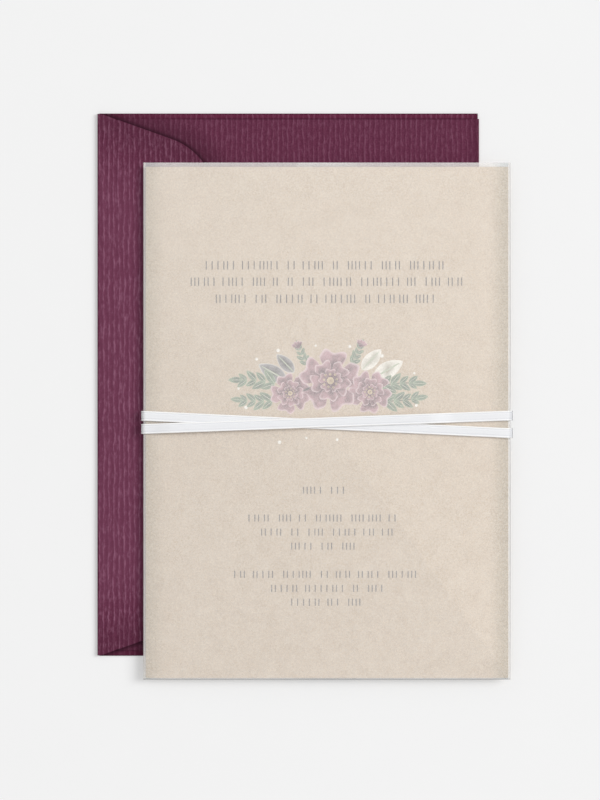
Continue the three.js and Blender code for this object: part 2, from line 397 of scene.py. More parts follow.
wrap = {
    "thickness": 0.12 * mm,
    "rise": 0.26 * mm,  # how far the front stands off where the band doesn't press it
    "pressWidth": 11 * mm,
    "foldReach": 9 * mm,
    "overlap": 18 * mm,
    "solidHalf": 0.075 * mm,  # from the solid's outer faces to the middle of its sheet
    "flapGap": 0.25 * mm,  # between the middles of the two back flaps
    "sideRoom": 0.05 * mm,
    "waveX": 34 * mm,
    "waveY": 46 * mm,
    "rightBulge": 0.06 * mm,
    "rowsAlong": 96,
    "stepsAcross": 44,
    "foldSteps": 9,
    "flapSteps": 14,
    "colour": tone(250, 247, 244),
    "shade": tone(243, 239, 236),
    "foldShade": tone(204, 208, 208),
    "foldWidth": 6.5 * mm,
    "cover": 0.225,  # share that each face of the sheet hides
    "foldCover": 0.45,
    "rimShade": tone(132, 133, 132),
    "rimSpan": (0.34 * mm, 0.46 * mm),  # out from the card's right edge
    "cutSpan": (0.26 * mm, 0.12 * mm),  # in from the sheet's lower edge
}


def bandPress(x, y):
    # 1 away from the band, and 0 under its middle, which falls a little from left to right
    t = (x + 42.6 * mm) / (108.3 * mm)
    centreY = (-11.3 - 0.6 * t) * mm
    return 1 - math.exp(-((y - centreY) / wrap["pressWidth"]) ** 2)


def wrapRise(x, y, left, right):
    inside = smoothStep(0, wrap["foldReach"], min(x - left, right - x))
    wave = noise.noise(Vector((x / wrap["waveX"], y / wrap["waveY"], 3.1)))
    return wrap["rise"] * bandPress(x, y) * inside * (0.75 + 0.5 * wave)


def buildWrapMaterial():
    material, tree, shader = newMaterial("vellum", 0.5, 0.3)
    grain, spot = addGrain(tree, 2200, 900, 260)
    links = tree.links
    x, y, _ = axesOf(tree, spot)
    cloud = mapRange(tree, grain["Cloud"], 0.3, 0.7, 0, 1)
    base = mixColour(tree, cloud, wrap["colour"], wrap["shade"])
    centreX = (cardLow[0] + cardHigh[0]) / 2
    halfX = (cardHigh[0] - cardLow[0]) / 2
    off = howFar(tree, x, centreX)
    nearFold = mapRange(tree, off, halfX - wrap["foldWidth"], halfX, 0, 0.8, "SMOOTHSTEP")
    beyond = mapRange(tree, off, halfX - 0.1 * mm, halfX + 0.2 * mm, 1, 0)
    weight = mapRange(tree, x, centreX - halfX, centreX + halfX, 0.85, 1.25)
    shaded = mathNode(tree, "MULTIPLY", mathNode(tree, "MULTIPLY", nearFold, weight), beyond)
    edged = mixColour(tree, shaded, base, wrap["foldShade"])
    # painted shade: the rim of the right fold and the lower cut edge are painted greyer, and hide
    # more
    rightEdge = centreX + halfX
    rim = mapRange(tree, x, *(rightEdge + out for out in wrap["rimSpan"]), 0, 0.9)
    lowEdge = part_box("vellum_wrap")[0][1]
    cut = mapRange(tree, y, *(lowEdge + inward for inward in wrap["cutSpan"]), 0, 1)
    outer = mathNode(tree, "MAXIMUM", rim, cut)
    links.new(mixColour(tree, outer, edged, wrap["rimShade"]), shader.inputs["Base Color"])
    fine = mapRange(tree, grain["Grain"], 0.3, 0.7, -0.04, 0.04)
    pastCard = mapRange(tree, off, halfX - 0.05 * mm, halfX + 0.3 * mm, 0,
                        wrap["foldCover"] - wrap["cover"], "SMOOTHSTEP")
    thicker = mathNode(tree, "ADD", pastCard, mathNode(tree, "MULTIPLY", outer, 0.4))
    cover = mathNode(tree, "ADD", mathNode(tree, "ADD", fine, thicker), wrap["cover"])
    path = addNode(tree, "ShaderNodeLightPath")
    unseen = mathNode(tree, "MAXIMUM", path.outputs["Is Shadow Ray"],
                      path.outputs["Is Diffuse Ray"])
    passing = mapRange(tree, unseen, 0, 1, 1, 0.3)
    alpha = mathNode(tree, "MULTIPLY", cover, passing)
    links.new(alpha, shader.inputs["Alpha"])
    addBump(tree, shader, grain["Grain"], 0.02 * mm, 0.25)
    return material


def buildWrap():
    low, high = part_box("vellum_wrap")
    half = wrap["thickness"] / 2
    left, right = cardLow[0] - wrap["sideRoom"], cardHigh[0] + wrap["sideRoom"]
    centreX = (left + right) / 2
    frontZ = high[2] - wrap["solidHalf"]
    outerZ = low[2] + wrap["solidHalf"]
    innerZ = outerZ + wrap["flapGap"]
    midY, length = (low[1] + high[1]) / 2, high[1] - low[1]
    start = centreX - wrap["overlap"] / 2
    bpy.ops.mesh.primitive_grid_add(
        x_subdivisions=wrap["flapSteps"], y_subdivisions=wrap["rowsAlong"], size=1,
        location=((start + right) / 2, midY, innerZ))
    piece = nameActive("wrap")
    piece.scale = (right - start, length, 1)
    settle(piece)
    edit(piece)
    selectVerts(piece, lambda co: co.x > right - nearby)
    radius = (frontZ - innerZ) / 2
    extrudeAlong(turnPoints(right, innerZ + radius, radius, -90, 180, wrap["foldSteps"]))
    stretch = (right - left) / wrap["stepsAcross"]
    extrudeAlong([(right - i * stretch, 0, frontZ) for i in range(wrap["stepsAcross"] + 1)])
    radius = (frontZ - outerZ) / 2
    extrudeAlong(turnPoints(left, outerZ + radius, radius, 90, 180, wrap["foldSteps"]))
    end = centreX + wrap["overlap"] / 2
    steps = wrap["flapSteps"]
    extrudeAlong([(left + i * (end - left) / steps, 0, outerZ) for i in range(steps + 1)])
    leaveEdit()
    for vertex in piece.data.vertices:
        spot = vertex.co
        along = (spot.y - low[1]) / length
        if spot.z > frontZ - half and left < spot.x < right:
            spot.z += wrapRise(spot.x, spot.y, left, right)
        if spot.x > right:
            spot.x += (wrap["rightBulge"] * bandPress(spot.x, spot.y)
                       * math.sin(math.pi * along))
    recalculate(piece)
    addWall(piece, wrap["thickness"])
    smoothShade(piece, 40)
    finishPiece(piece, buildWrapMaterial(), "vellum_wrap")


buildWrap()
print("wrap built")


# band: a flat braid with a round cord along each edge, wound twice round the wrap

band = {
    "cordRadius": 0.3 * mm,
    "cordReach": 1.2 * mm,  # from the middle to a cord's centre
    "webHalf": 0.13 * mm,  # in the groove beside a cord
    "webRise": 0.12 * mm,  # from the groove to the braid between the cords
    "ribDepth": 0.025 * mm,
    "turnX": 54.15 * mm,
    "turnRadius": 1.025 * mm,
    "turnZ": 2.475 * mm,
    "left": (-13.22 * mm, -9.34 * mm),
    "right": (-9.25 * mm, -14.45 * mm),
    "climb": 8 * mm,
    "clearance": 0.2 * mm,
    "lift": 0.65 * mm,
    "stitchLength": 0.42 * mm,
    "stitchWidth": 0.36 * mm,
    "cordTurns": 8,
    "webTurns": 18,
    "frontSteps": 30,
    "climbSteps": 8,
    "turnSteps": 14,
    "backSteps": 24,
    "colour": tone(249, 249, 249),
    "groove": tone(190, 195, 208),
    "grooveReach": 0.95 * mm,  # from the middle to the dark line beside a cord
    "grooveWidth": 0.09 * mm,
    "turnShade": tone(94, 96, 104),
    "bendAngle": 1.17,  # radians round a right turn, where it is darkest
}


def bandSection():
    meet = math.degrees(math.asin(band["webHalf"] / band["cordRadius"]))
    points = []
    cordTurns, webTurns = band["cordTurns"], band["webTurns"]
    for side in (1, -1):
        for i in range(cordTurns + 1):
            turn = math.radians(-180 + meet + (360 - 2 * meet) * i / cordTurns)
            points.append((side * (band["cordReach"] + band["cordRadius"] * math.cos(turn)),
                           side * band["cordRadius"] * math.sin(turn)))
        inner = band["cordReach"] - band["cordRadius"] * math.cos(math.radians(meet))
        for i in range(1, webTurns):
            across = inner - 2 * inner * i / webTurns
            rib = band["ribDepth"] * (0.5 + 0.5 * math.cos(math.pi * i))
            rise = band["webRise"] * smoothStep(0.06 * mm, 0.24 * mm, inner - abs(across))
            points.append((side * across, side * (band["webHalf"] + rise - rib)))
    return points


def frontStations(passIndex):
    # a front pass, the first of which climbs over the second where they cross
    span = 2 * band["turnX"]
    leftY, rightY = band["left"][passIndex], band["right"][passIndex]
    spread = band["left"][1] - band["left"][0]
    closing = spread + band["right"][0] - band["right"][1]
    touch = 2 * (band["cordReach"] + band["cordRadius"]) + band["clearance"]
    climbEnd, descentStart = (spread - touch) / closing, (spread + touch) / closing
    ramp = band["climb"] / span
    steps, climbSteps = band["frontSteps"], band["climbSteps"]
    stations = {i / steps for i in range(steps + 1)}
    for start in (climbEnd - ramp, descentStart):
        stations |= {min(max(start + ramp * i / climbSteps, 0), 1)
                     for i in range(climbSteps + 1)}
    points = []
    for t in sorted(stations):
        height = 0
        if passIndex == 0:
            up = smoothStep(climbEnd - ramp, climbEnd, t)
            height = band["lift"] * up * (1 - smoothStep(descentStart, descentStart + ramp, t))
        points.append((-band["turnX"] + span * t, leftY + (rightY - leftY) * t, height))
    return points


def buildBandMaterial():
    material, tree, shader = newMaterial("whiteElastic", 0.8, 0.25)
    links = tree.links
    # lay holds the way along the band, the way across it, and the angle of a right turn
    lay = addNode(tree, "ShaderNodeAttribute", {"attribute_name": "lay"})
    way, side, turn = axesOf(tree, lay.outputs["Vector"])
    along = mathNode(tree, "MULTIPLY", way, 2 * math.pi / band["stitchLength"])
    edge = mathNode(tree, "ABSOLUTE", side)
    across = mathNode(tree, "MULTIPLY", edge, 2 * math.pi / band["stitchWidth"])
    slanted = mathNode(tree, "ADD", along, across)
    stitch = mathNode(tree, "SINE", slanted)
    stitchHeight = mapRange(tree, stitch, -1, 1, 0, 1)
    middle = mapRange(tree, edge, 0.85 * mm, 0.97 * mm, 0.36, 0, "SMOOTHSTEP")
    # painted shade: a grey line along the groove beside each cord
    fromGroove = howFar(tree, edge, band["grooveReach"])
    groove = mapRange(tree, fromGroove, 0, band["grooveWidth"], 0.6, 0, "SMOOTHSTEP")
    stitched = mapRange(tree, stitch, -1, 1, 0.9, 0.3)
    weave = mathNode(tree, "MULTIPLY", middle, stitched)
    shade = mathNode(tree, "MAXIMUM", weave, groove)
    colour = mixColour(tree, shade, band["colour"], band["groove"])
    # painted shade: a right turn greys a little as it rounds, and most in its upper bend
    rounding = mapRange(tree, turn, 0.04, 0.42, 0, 0.3, "SMOOTHSTEP")
    fromBend = howFar(tree, turn, band["bendAngle"])
    bent = mapRange(tree, fromBend, 0.14, 0.26, 0.92, 0, "SMOOTHSTEP")
    turned = mixColour(tree, mathNode(tree, "MAXIMUM", rounding, bent), colour,
                       band["turnShade"])
    links.new(turned, shader.inputs["Base Color"])
    shader.inputs["Sheen Weight"].default_value = 0.15
    addBump(tree, shader, stitchHeight, 0.03 * mm, 0.6)
    return material


def buildBand():
    shiftX = (cardLow[0] + cardHigh[0]) / 2
    section = bandSection()
    frontZ = band["turnZ"] + band["turnRadius"]
    backSteps = band["backSteps"]

    def turnRound(side):
        bpy.ops.mesh.spin(steps=band["turnSteps"], angle=math.pi, axis=(0, -1, 0),
                          center=(shiftX + side * band["turnX"], 0, band["turnZ"]))

    bpy.ops.mesh.primitive_circle_add(vertices=len(section), radius=mm)
    piece = nameActive("band")
    settle(piece)
    for vertex, (across, through) in zip(piece.data.vertices, section):
        vertex.co = (shiftX - band["turnX"], band["left"][0] + across, frontZ + through)
    edit(piece)
    selectAll()
    for passIndex in (0, 1):
        extrudeAlong(frontStations(passIndex))
        turnRound(1)
        backY = band["left"][1 - passIndex] - band["right"][passIndex]
        extrudeAlong([(-2 * band["turnX"] * i / backSteps, backY * i / backSteps, 0)
                      for i in range(backSteps + 1)])
        turnRound(-1)
    leaveEdit()
    lay = piece.data.attributes.new("lay", "FLOAT_VECTOR", "POINT")
    count = len(section)
    travelled, centre = 0, None
    for i, vertex in enumerate(piece.data.vertices):
        if i % count == 0:
            ring = piece.data.vertices[i:i + count]
            middle = sum((v.co for v in ring), Vector()) / len(ring)
            travelled += (middle - centre).length if centre else 0
            centre = middle
        past = max(vertex.co.x - shiftX - band["turnX"], 0)
        bend = math.atan2(past, abs(vertex.co.z - band["turnZ"]))
        lay.data[i].vector = (travelled, section[i % count][0], bend)
    recalculate(piece)
    smoothShade(piece, 50)
    finishPiece(piece, buildBandMaterial(), "elastic_band")


buildBand()
print("band built")


# envelope: one ribbed sheet folded on its four sides, seen from the back with its flap closed

envelope = {
    "thickness": 0.17 * mm,
    "frontZ": 0.1 * mm,  # middle of the paper in each layer
    "sideZ": 0.4 * mm,
    "backZ": 0.7 * mm,
    "flapZ": 1.0 * mm,
    "flapDepth": 35.5 * mm,
    "flapInset": 0.75 * mm,
    "flapSlant": 19.6,
    "flapRound": 20 * mm,
    "seamInset": 1.65 * mm,
    "mouthInset": 6 * mm,
    "sideDepth": 15 * mm,
    "sideTaper": 20,
    "solidHalf": 0.1 * mm,  # from the solid's outer faces to the middle of its paper
    "rows": 60,
    "columns": 16,
    "foldSteps": 7,
    "sideSteps": 10,
    "ribPitch": 1.53 * mm,
    "ribHeight": 0.05 * mm,
    "columnsPerRib": 4,
    "sway": 0.34,  # how far a rib wanders, as a share of the pitch
    "swayX": 3.1 * mm,
    "swayY": 9 * mm,
    "flapLift": 0.14 * mm,  # how far the flap springs up where nothing lies on it
    "pressY": -11.5 * mm,  # where the bundle's band holds the flap down
    "pressWidth": 16 * mm,
    "panelSwell": 0.08 * mm,
    "swellX": 40 * mm,
    "swellY": 30 * mm,
    "colour": tone(106, 51, 76),
    "deep": tone(85, 35, 57),
    "crest": tone(152, 102, 126),
    "flapLight": tone(132, 76, 102),
    "stripShade": tone(92, 26, 54),
    "shade": tone(46, 12, 28),  # painted shade along the folds and the seam, beside the flap's edge and on it
    "flapMark": 0.6,  # strength of the light rib lines: painted highlight along the rib crests, with stray light streaks
    "panelMark": 0.32,
    "wideShade": 9 * mm,  # how far the shade reaches from the closing flap's edge
    "closeShade": 1.5 * mm,
    "seamWidth": 0.5 * mm,
}


def flapOutline(left, halfY):
    # the closing flap's slanted side and the round shoulder that ends it
    slant, radius = math.radians(envelope["flapSlant"]), envelope["flapRound"]
    start = left + envelope["flapInset"]
    centreX = left + envelope["flapDepth"] - radius
    slantEnd = centreX + radius * math.sin(slant)
    shoulder = halfY - (slantEnd - start) * math.tan(slant) - radius * math.cos(slant)
    return slant, radius, start, centreX, slantEnd, shoulder


def flapReach(x, left, halfY):
    # half the height of the closing flap at a distance from its fold
    slant, radius, start, centreX, slantEnd, shoulder = flapOutline(left, halfY)
    if x <= start:
        return halfY
    if x <= slantEnd:
        return halfY - (x - start) * math.tan(slant)
    return shoulder + math.sqrt(max(radius ** 2 - (x - centreX) ** 2, 0))


def flapDistance(tree, x, away, left, halfY):
    # distance outside the closing flap's outline, less than nothing inside it
    slant, radius, start, centreX, slantEnd, shoulder = flapOutline(left, halfY)
    drop = mathNode(tree, "MULTIPLY", mathNode(tree, "SUBTRACT", x, start), math.tan(slant))
    level = mathNode(tree, "SUBTRACT", mathNode(tree, "ADD", away, drop), halfY)
    straight = mathNode(tree, "MULTIPLY", level, math.cos(slant))
    sideX = mathNode(tree, "SUBTRACT", x, centreX)
    sideY = mathNode(tree, "MAXIMUM", mathNode(tree, "SUBTRACT", away, shoulder), 0)
    square = mathNode(tree, "ADD", mathNode(tree, "POWER", sideX, 2),
                      mathNode(tree, "POWER", sideY, 2))
    curved = mathNode(tree, "SUBTRACT", mathNode(tree, "SQRT", square), radius)
    choose = mathNode(tree, "GREATER_THAN", x, slantEnd)
    apart = mathNode(tree, "SUBTRACT", curved, straight)
    return mathNode(tree, "ADD", straight, mathNode(tree, "MULTIPLY", choose, apart))


def buildEnvelopeMaterial():
    material, tree, shader = newMaterial("ribbedPaper", 0.9, 0.15)
    low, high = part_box("envelope")
    grain, spot = addGrain(tree, 2400, 1500, 160)
    links = tree.links
    phase = addNode(tree, "ShaderNodeAttribute", {"attribute_name": "ribPhase"})
    layer = addNode(tree, "ShaderNodeAttribute", {"attribute_name": "layer"})
    long = addNode(tree, "ShaderNodeMapping", values={"Scale": (1.0, 0.32, 1.0)})
    links.new(spot, long.inputs[0])
    streak = addNode(tree, "ShaderNodeTexNoise",
                     values={"Scale": 1500.0, "Detail": 3.0, "Roughness": 0.6})
    links.new(long.outputs[0], streak.inputs["Vector"])
    wander = addNode(tree, "ShaderNodeTexNoise",
                     values={"Scale": 420.0, "Detail": 2.0, "Roughness": 0.5})
    links.new(spot, wander.inputs["Vector"])
    turns = mathNode(tree, "ADD", phase.outputs["Fac"],
                     mapRange(tree, wander.outputs[0], 0.3, 0.7, -0.1, 0.1))
    angle = mathNode(tree, "MULTIPLY", turns, 2 * math.pi)
    wave = mathNode(tree, "COSINE", angle)
    # painted shade on the furrow beside each rib
    furrow = mapRange(tree, mathNode(tree, "COSINE", mathNode(tree, "ADD", angle, 2.2)),
                      0.2, 1, 0, 0.4, "SMOOTHSTEP")
    # painted highlight: light lines along the rib crests, broken by the streak noise, and stray
    # light streaks
    crest = mapRange(tree, wave, 0.35, 1, 0, 1, "SMOOTHSTEP")
    broken = mapRange(tree, streak.outputs[0], 0.4, 0.62, 0.15, 1)
    lines = mathNode(tree, "MULTIPLY", crest, broken)
    stray = mapRange(tree, streak.outputs[0], 0.52, 0.7, 0, 0.6)
    marks = mathNode(tree, "MAXIMUM", lines, stray)
    speck = mapRange(tree, grain["Grain"], 0.32, 0.68, 0, 1)
    even = mixColour(tree, speck, envelope["colour"], envelope["deep"])
    base = mixColour(tree, furrow, even, envelope["deep"])
    x, y, _ = axesOf(tree, spot)
    away = mathNode(tree, "ABSOLUTE", y)
    onFlap = mapRange(tree, layer.outputs["Fac"], 2.5, 3, 0, 1)
    outside = flapDistance(tree, x, away, low[0], high[1])
    # painted light: the flap is lighter at its fold and middle than towards its slanted ends
    inward = mapRange(tree, outside, -24 * mm, -6 * mm, 0.24, 0, "SMOOTHSTEP")
    flapLit = mixColour(tree, mathNode(tree, "MULTIPLY", onFlap, inward), base,
                       envelope["flapLight"])
    # painted shade: the side flaps' strip at the top and bottom is darker
    side = mathNode(tree, "COMPARE", layer.outputs["Fac"], 1.0)
    side.node.inputs[2].default_value = 0.3
    strip = mixColour(tree, mathNode(tree, "MULTIPLY", side, 0.6), flapLit, envelope["stripShade"])
    strength = mapRange(tree, onFlap, 0, 1, envelope["panelMark"], envelope["flapMark"])
    lined = mixColour(tree, mathNode(tree, "MULTIPLY", marks, strength), strip, envelope["crest"])
    # painted shade on the back panel beside the closing flap's edge
    wide = mapRange(tree, outside, 0, envelope["wideShade"], 0.42, 0, "SMOOTHSTEP")
    close = mapRange(tree, outside, 0, envelope["closeShade"], 0.45, 0, "SMOOTHSTEP")
    past = mathNode(tree, "GREATER_THAN", outside, 0)
    under = mathNode(tree, "MULTIPLY", past, mathNode(tree, "ADD", wide, close))
    # painted shade along the seam at the back panel's edge
    fromSeam = howFar(tree, away, high[1] - envelope["seamInset"])
    seam = mapRange(tree, fromSeam, 0, envelope["seamWidth"], 0.4, 0, "SMOOTHSTEP")
    # painted shade along the top and bottom folds and towards the right fold
    folds = mathNode(tree, "MAXIMUM",
                     mapRange(tree, away, high[1] - 0.45 * mm, high[1] - 0.2 * mm, 0, 0.6),
                     mapRange(tree, x, high[0] - 4 * mm, high[0] - 0.2 * mm, 0, 0.35))
    paintedShade = mathNode(tree, "MAXIMUM", under, mathNode(tree, "MAXIMUM", seam, folds))
    facing = mathNode(tree, "MULTIPLY", paintedShade, mathNode(tree, "SUBTRACT", 1.0, onFlap))
    # painted shade on the flap: a dark line at its edge and a soft darkening towards it
    toEdge = mathNode(tree, "MAXIMUM", mapRange(tree, outside, -0.3 * mm, 0, 0, 0.6),
                      mapRange(tree, outside, -12 * mm, -1 * mm, 0, 0.2, "SMOOTHSTEP"))
    onEdge = mathNode(tree, "MULTIPLY", onFlap, toEdge)
    links.new(mixColour(tree, mathNode(tree, "MAXIMUM", facing, onEdge), lined,
                        envelope["shade"]), shader.inputs["Base Color"])
    height = mathNode(tree, "ADD", mathNode(tree, "MULTIPLY", marks, 0.6),
                      mathNode(tree, "MULTIPLY", grain["Height"], 0.5))
    addBump(tree, shader, height, 0.05 * mm, 0.8)
    return material


def shapeEnvelope(piece, low, high, foldX, flapFoldX):
    # closes the flap's outline, then gives every layer its ribs and its slight spring
    half = envelope["thickness"] / 2
    phase = piece.data.attributes.new("ribPhase", "FLOAT", "POINT")
    layer = piece.data.attributes.new("layer", "FLOAT", "POINT")
    fullY = max(abs(v.co.y) for v in piece.data.vertices)
    taper = math.tan(math.radians(envelope["sideTaper"]))
    for i, vertex in enumerate(piece.data.vertices):
        spot = vertex.co
        onFlap = spot.z > envelope["flapZ"] - half and spot.x > flapFoldX
        onBack = not onFlap and spot.z > envelope["backZ"] - half and spot.x < foldX
        onSide = not onFlap and not onBack and spot.z > envelope["sideZ"] - half
        if spot.x < flapFoldX or onFlap:
            spot.y *= flapReach(spot.x, low[0], high[1]) / fullY
        if onSide and abs(spot.x) < foldX:
            spot.x *= 1 - (high[1] - abs(spot.y)) * taper / high[0]
        sway = noise.noise(Vector((spot.x / envelope["swayX"], spot.y / envelope["swayY"], 4.2)))
        turns = spot.x / envelope["ribPitch"] + envelope["sway"] * sway
        phase.data[i].value = turns
        layer.data[i].value = 3 if onFlap else 2 if onBack else 1 if onSide else 0
        if onFlap or onBack:
            spot.z += envelope["ribHeight"] * 0.5 * math.cos(2 * math.pi * turns)
        if onFlap:
            away = smoothStep(0.04, 0.5, (spot.x - low[0]) / envelope["flapDepth"])
            free = 1 - math.exp(-((spot.y - envelope["pressY"]) / envelope["pressWidth"]) ** 2)
            edge = smoothStep(0.35, 1, abs(spot.y) / high[1])
            spot.z += envelope["flapLift"] * away * free * (0.45 + 0.55 * edge)
        if onBack:
            swell = noise.noise(Vector((spot.x / envelope["swellX"],
                                        spot.y / envelope["swellY"], 8.8)))
            inner = smoothStep(0, 9 * mm, min(foldX - spot.x, high[1] - abs(spot.y)))
            spot.z += envelope["panelSwell"] * (swell - 0.4) * inner


def buildEnvelope():
    low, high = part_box("envelope")
    flapRadius = (envelope["flapZ"] - envelope["frontZ"]) / 2
    foldRadius = (envelope["backZ"] - envelope["frontZ"]) / 2
    sideRadius = (envelope["sideZ"] - envelope["frontZ"]) / 2
    half = envelope["solidHalf"]
    flapFoldX = low[0] + half + flapRadius
    foldX = high[0] - half - foldRadius
    foldY = high[1] - half - sideRadius
    panelY = high[1] - envelope["seamInset"]
    bpy.ops.mesh.primitive_grid_add(
        x_subdivisions=envelope["columns"], y_subdivisions=envelope["rows"], size=1,
        location=((flapFoldX + foldX) / 2, 0, envelope["frontZ"]))
    piece = nameActive("paperEnvelope")
    piece.scale = (foldX - flapFoldX, 2 * foldY, 1)
    settle(piece)
    edit(piece)
    for side in (1, -1):
        selectAll()
        bpy.ops.mesh.bisect(plane_co=(0, side * panelY, 0), plane_no=(0, 1, 0))
    pitch = envelope["ribPitch"] / envelope["columnsPerRib"]
    # back panel, from the right fold
    selectVerts(piece, lambda co: co.x > foldX - nearby and abs(co.y) < panelY + nearby)
    extrudeAlong(turnPoints(foldX, 0, foldRadius, -90, 180, envelope["foldSteps"]))
    mouth = low[0] + envelope["mouthInset"]
    count = round((foldX - mouth) / pitch)
    extrudeAlong([(foldX - i * (foldX - mouth) / count, 0, 0) for i in range(count + 1)])
    # closing flap, from the left fold
    selectVerts(piece, lambda co: co.x < flapFoldX + nearby and co.z < 0.2 * mm)
    extrudeAlong(turnPoints(flapFoldX, 0, flapRadius, -90, -180, envelope["foldSteps"]))
    tip = low[0] + envelope["flapDepth"]
    count = round((tip - flapFoldX) / pitch)
    extrudeAlong([(flapFoldX + i * (tip - flapFoldX) / count, 0, 0) for i in range(count + 1)])
    # two side flaps, from the short folds
    for side in (1, -1):
        selectVerts(piece, lambda co: side * co.y > foldY - nearby and co.z < 0.15 * mm
                    and flapFoldX - nearby < co.x < foldX + nearby)
        turn = turnPoints(foldY, 0, sideRadius, -90, 180, envelope["foldSteps"])
        extrudeAlong([(0, side * y, z) for y, _, z in turn])
        run, steps = envelope["sideDepth"] - sideRadius, envelope["sideSteps"]
        extrudeAlong([(0, -side * i * run / steps, 0) for i in range(steps + 1)])
    leaveEdit()
    shapeEnvelope(piece, low, high, foldX, flapFoldX)
    recalculate(piece)
    addWall(piece, envelope["thickness"])
    smoothShade(piece, 40)
    finishPiece(piece, buildEnvelopeMaterial(), "envelope")


buildEnvelope()
print("envelope built")


# print: plain blossoms, sprigs, dots and rows of strokes, as thin films of ink on the card

ink = {
    "sunk": 0.01 * mm,
    "film": 0.012 * mm,
    "layer": 0.007 * mm,
    "petalDeep": tone(88, 40, 58),
    "petalPale": tone(200, 154, 162),
    "petalRim": tone(246, 226, 227),
    "leafDeep": tone(52, 78, 62),
    "leafPale": tone(136, 160, 130),
    "leafRim": tone(176, 192, 160),
    "vein": tone(206, 208, 190),
    "creamDeep": tone(176, 170, 150),
    "cream": tone(252, 248, 238),
    "slateDeep": tone(40, 42, 48),
    "slate": tone(150, 148, 150),
    "white": tone(255, 253, 248),
    "stroke": tone(74, 68, 66),
}
inkZ = cardHigh[2]


def buildInkMaterial(name, deep, pale, low, high, rim=None, grainScale=900.0):
    # wash: the pigment gathers at a shape's heart, runs unevenly and leaves a pale rim
    material, tree, shader = newMaterial(name, 0.85, 0.2)
    links = tree.links
    grain, _ = addGrain(tree, grainScale, 700, 420)
    reach = addNode(tree, "ShaderNodeAttribute", {"attribute_name": "wash"})
    uneven = mapRange(tree, grain["Cloud"], 0.25, 0.75, -0.45, 0.45)
    mixed = mathNode(tree, "ADD", reach.outputs["Fac"], uneven, True)
    colour = mixColour(tree, mapRange(tree, mixed, low, high, 0, 1), deep, pale)
    if rim:
        atRim = mapRange(tree, reach.outputs["Fac"], 0.88, 0.98, 0, 0.7)
        colour = mixColour(tree, atRim, colour, rim)
    links.new(colour, shader.inputs["Base Color"])
    addBump(tree, shader, grain["Height"], 0.01 * mm, 0.3)
    return material


def washShape(name, outline, heart=(0, 0), corners=28, cuts=3):
    # a filled disc, cut finer and drawn out to the outline, with its distance from the heart kept
    bpy.ops.mesh.primitive_circle_add(vertices=corners, radius=1, fill_type="TRIFAN")
    piece = nameActive(name)
    if cuts:
        edit(piece)
        selectAll()
        bpy.ops.mesh.subdivide(number_cuts=cuts)
        leaveEdit()
    wash = piece.data.attributes.new("wash", "FLOAT", "POINT")
    for i, vertex in enumerate(piece.data.vertices):
        reach = min(math.hypot(vertex.co.x, vertex.co.y), 1)
        x, y = outline(math.atan2(vertex.co.y, vertex.co.x))
        vertex.co = (heart[0] + (x - heart[0]) * reach, heart[1] + (y - heart[1]) * reach, 0)
        wash.data[i].value = reach
    addWall(piece, ink["film"] + ink["sunk"], 1)
    return piece


def petalOutline(angle):
    opening = (1 + math.cos(angle)) / 2
    notch = 0.13 * math.exp(-(angle / 0.3) ** 2)
    wave = 0.03 * math.sin(5 * angle)
    return (0.06 + 0.94 * opening ** 0.75 - notch + wave,
            (0.58 + wave) * math.sin(angle) * (0.3 + 0.7 * opening))


def leafOutline(angle):
    along = (1 + math.cos(angle)) / 2
    side = math.sin(angle)
    return along, 0.24 * math.copysign(abs(side) ** 1.5, side) * (1 - 0.3 * along)


def veinOutline(angle):
    return (1 + math.cos(angle)) / 2, 0.028 * math.sin(angle)


def discOutline(angle):
    return math.cos(angle), math.sin(angle)


def place(master, pieces, x, y, layer, size, turn, stretch=1.0):
    twin = copyOf(master, master.name)
    twin.location = (x * mm, y * mm, inkZ - ink["sunk"] + layer * ink["layer"])
    twin.rotation_euler = (0, 0, math.radians(turn))
    twin.scale = (size * mm, size * mm * stretch, 1)
    pieces.append(twin)


def finishPrint(name, pieces, material):
    whole = joined(name, pieces)
    whole.data.materials.clear()
    whole.data.materials.append(material)
    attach(whole, body)


blossoms = [
    # x, y, radius, turn
    (12.6, 1.2, 9.6, 12),
    (0.6, -2.6, 6.2, 40),
    (24.4, -2.2, 6.6, -20),
]
buds = [(3.2, 10.6, 2.6, 112), (21.4, 11.0, 2.6, 68)]
sprigs = [
    # x, y, length, turn, bend
    (0.0, -1.0, 14.0, 158, 22),
    (-1.0, -4.4, 12.5, 190, -16),
    (24.0, -1.4, 13.5, 20, -22),
    (25.0, -4.6, 13.0, -8, 18),
    (7.0, 4.0, 8.0, 128, -18),
    (17.5, 4.5, 8.0, 50, 18),
]
creamLeaves = [
    # x, y, length, turn
    (25.5, 2.0, 10.0, 30), (22.0, 4.4, 8.4, 47),
]
slateLeaves = [(-0.5, 1.2, 9.6, 150), (1.8, 3.6, 7.6, 134)]
dots = [(-14.8, -1.2), (-9.4, 7.6), (-3.0, 10.2), (8.2, 11.6), (18.4, 11.4), (28.0, 8.6),
        (37.6, 3.4), (38.2, -6.2), (-12.6, -6.8), (5.4, -15.9), (14.6, -16.4), (-2.6, -17.2)]


blossomForm = {
    # sizes are shares of a blossom's radius
    "petals": 5,
    "middleSize": 0.66,
    "innerSize": 0.38,
    "innerTurn": 8,
    "heartSize": 0.11,
    "pollenCount": 9,
    "pollenSize": 0.035,
    "pollenReach": 0.2,
    "pollenStagger": 0.03,
}


